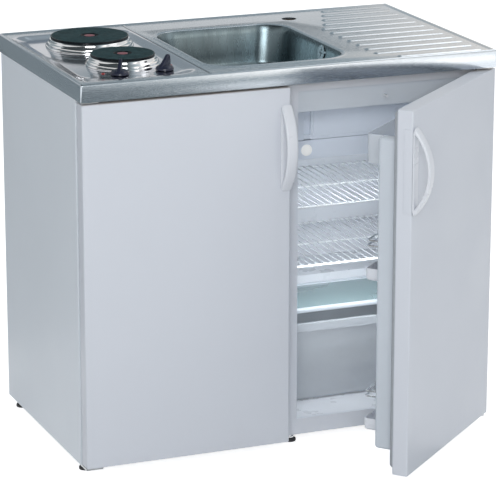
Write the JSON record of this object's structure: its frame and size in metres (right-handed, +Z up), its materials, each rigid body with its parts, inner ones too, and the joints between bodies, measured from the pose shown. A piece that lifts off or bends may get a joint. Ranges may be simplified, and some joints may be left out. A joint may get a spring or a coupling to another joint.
{
  "type": "kitchenette unit",
  "caption": "Compact kitchenette: steel worktop with sink, drainer and two hotplates, over a hinged-door cupboard and a fridge with freezer box, shelves, drawer and racks.",
  "frame": {"origin": "on the floor at the wall, at the middle of the width of the unit", "axes": "+X to the right seen from the front, +Y towards the wall, +Z up"},
  "size_m": [1.0057, 0.9401, 0.924],
  "materials": {
    "worktop_steel": "satin brushed",
    "polished_steel": "polished",
    "plate_iron": "matt black",
    "zinc_steel": "zinc plated",
    "knob_plastic": "satin",
    "lamp_red": "translucent",
    "black_plastic": "matt",
    "grey_plastic": "matt",
    "plug_rubber": "matt",
    "pipe_plastic": "matt",
    "frame_board": "raw chipboard",
    "white_board": "melamine faced",
    "door_paint": "satin enamel",
    "white_plastic": "smooth",
    "foam": "open cell",
    "freezer_sheet": "anodised",
    "lamp_glass": "opal",
    "shelf_wire": "plastic coated",
    "shelf_glass": "clear",
    "clear_plastic": "clear",
    "seal_rubber": "soft",
    "black_paint": "matt black"
  },
  "bodies": {
    "unit": {"worktop": "worktop_steel", "worktop_frame": "frame_board", "sink_bowl": "worktop_steel", "waste_strainer": "polished_steel", "waste_body": "pipe_plastic", "bottle_trap": "pipe_plastic", "trap_outlet": "pipe_plastic", "overflow_rosette": "polished_steel", "overflow_pipe": "pipe_plastic", "rear_hotplate": "plate_iron", "front_hotplate": "plate_iron", "rear_spill_ring": "polished_steel", "front_spill_ring": "polished_steel", "hotplate_clamps": "zinc_steel", "hob_underpan": "zinc_steel", "energy_regulators": "black_plastic", "pilot_lamps": "lamp_red", "terminal_box": "grey_plastic", "side_panel": "white_board", "partition": "white_board", "base_panel": "white_board", "back_panel": "white_board", "top_rails": "white_board", "cupboard_shelf": "white_board", "cupboard_fittings": "zinc_steel", "fridge_casing": "door_paint", "fridge_foam": "foam", "fridge_liner": "white_plastic", "front_frame": "door_paint", "fascia": "white_plastic", "freezer_box": "freezer_sheet", "control_housing": "white_plastic", "lamp": "lamp_glass", "glass_shelf": "shelf_glass", "shelf_trims": "white_plastic", "compressor": "black_paint", "condenser": "black_paint", "fridge_hinges": "zinc_steel", "feet": "black_plastic"},
    "cupboard_door": {"cupboard_door_shell": "door_paint", "cupboard_door_liner": "white_plastic", "cupboard_handle": "white_plastic"},
    "fridge_door": {"fridge_door_shell": "door_paint", "fridge_door_foam": "foam", "fridge_door_liner": "white_plastic", "door_gasket": "seal_rubber", "door_balcony": "clear_plastic", "door_racks": "white_plastic", "fridge_handle": "white_plastic"},
    "freezer_flap": {"freezer_flap": "white_plastic"},
    "upper_shelf": {"upper_shelf": "shelf_wire"},
    "lower_shelf": {"lower_shelf": "shelf_wire"},
    "crisper_drawer": {"crisper_drawer": "clear_plastic"},
    "left_control": {"left_knob": "knob_plastic", "left_shaft": "zinc_steel"},
    "right_control": {"right_knob": "knob_plastic", "right_shaft": "zinc_steel"},
    "thermostat_dial": {"thermostat_dial": "white_plastic"},
    "waste_plug": {"waste_plug": "plug_rubber"},
    "light_switch": {"light_switch": "white_plastic"}
  },
  "joints": [
    {"name": "fridge_door_hinge", "type": "hinge", "parent": "unit", "child": "fridge_door", "pos_m": [0.48, -0.575, 0], "axis": [0, 0, 1], "range_deg": [-42, 68]},
    {"name": "cupboard_door_hinge", "type": "hinge", "parent": "unit", "child": "cupboard_door", "pos_m": [-0.485, -0.575, 0], "axis": [0, 0, -1], "range_deg": [0, 110]},
    {"name": "freezer_flap_hinge", "type": "hinge", "parent": "unit", "child": "freezer_flap", "pos_m": [0, -0.445, 0.7], "axis": [1, 0, 0], "range_deg": [0, 90]},
    {"name": "upper_shelf_slide", "type": "slide", "parent": "unit", "child": "upper_shelf", "axis": [0, -1, 0], "range_m": [0, 0.09]},
    {"name": "lower_shelf_slide", "type": "slide", "parent": "unit", "child": "lower_shelf", "axis": [0, -1, 0], "range_m": [0, 0.09]},
    {"name": "drawer_slide", "type": "slide", "parent": "unit", "child": "crisper_drawer", "axis": [0, -1, 0], "range_m": [0, 0.095]},
    {"name": "left_knob_turn", "type": "hinge", "parent": "unit", "child": "left_control", "pos_m": [-0.367, -0.478, 0.9], "axis": [0, 0, -1], "range_deg": [0, 300]},
    {"name": "right_knob_turn", "type": "hinge", "parent": "unit", "child": "right_control", "pos_m": [-0.258, -0.468, 0.9], "axis": [0, 0, -1], "range_deg": [0, 300]},
    {"name": "thermostat_turn", "type": "hinge", "parent": "unit", "child": "thermostat_dial", "pos_m": [0.38, -0.445, 0.669], "axis": [0, -1, 0], "range_deg": [0, 270]},
    {"name": "plug_lift", "type": "slide", "parent": "unit", "child": "waste_plug", "axis": [0, 0, 1], "range_m": [0, 0.08]},
    {"name": "light_switch_push", "type": "slide", "parent": "unit", "child": "light_switch", "axis": [0, 1, 0], "range_m": [0, 0.004], "stiffness_N_per_m": 200}
  ]
}
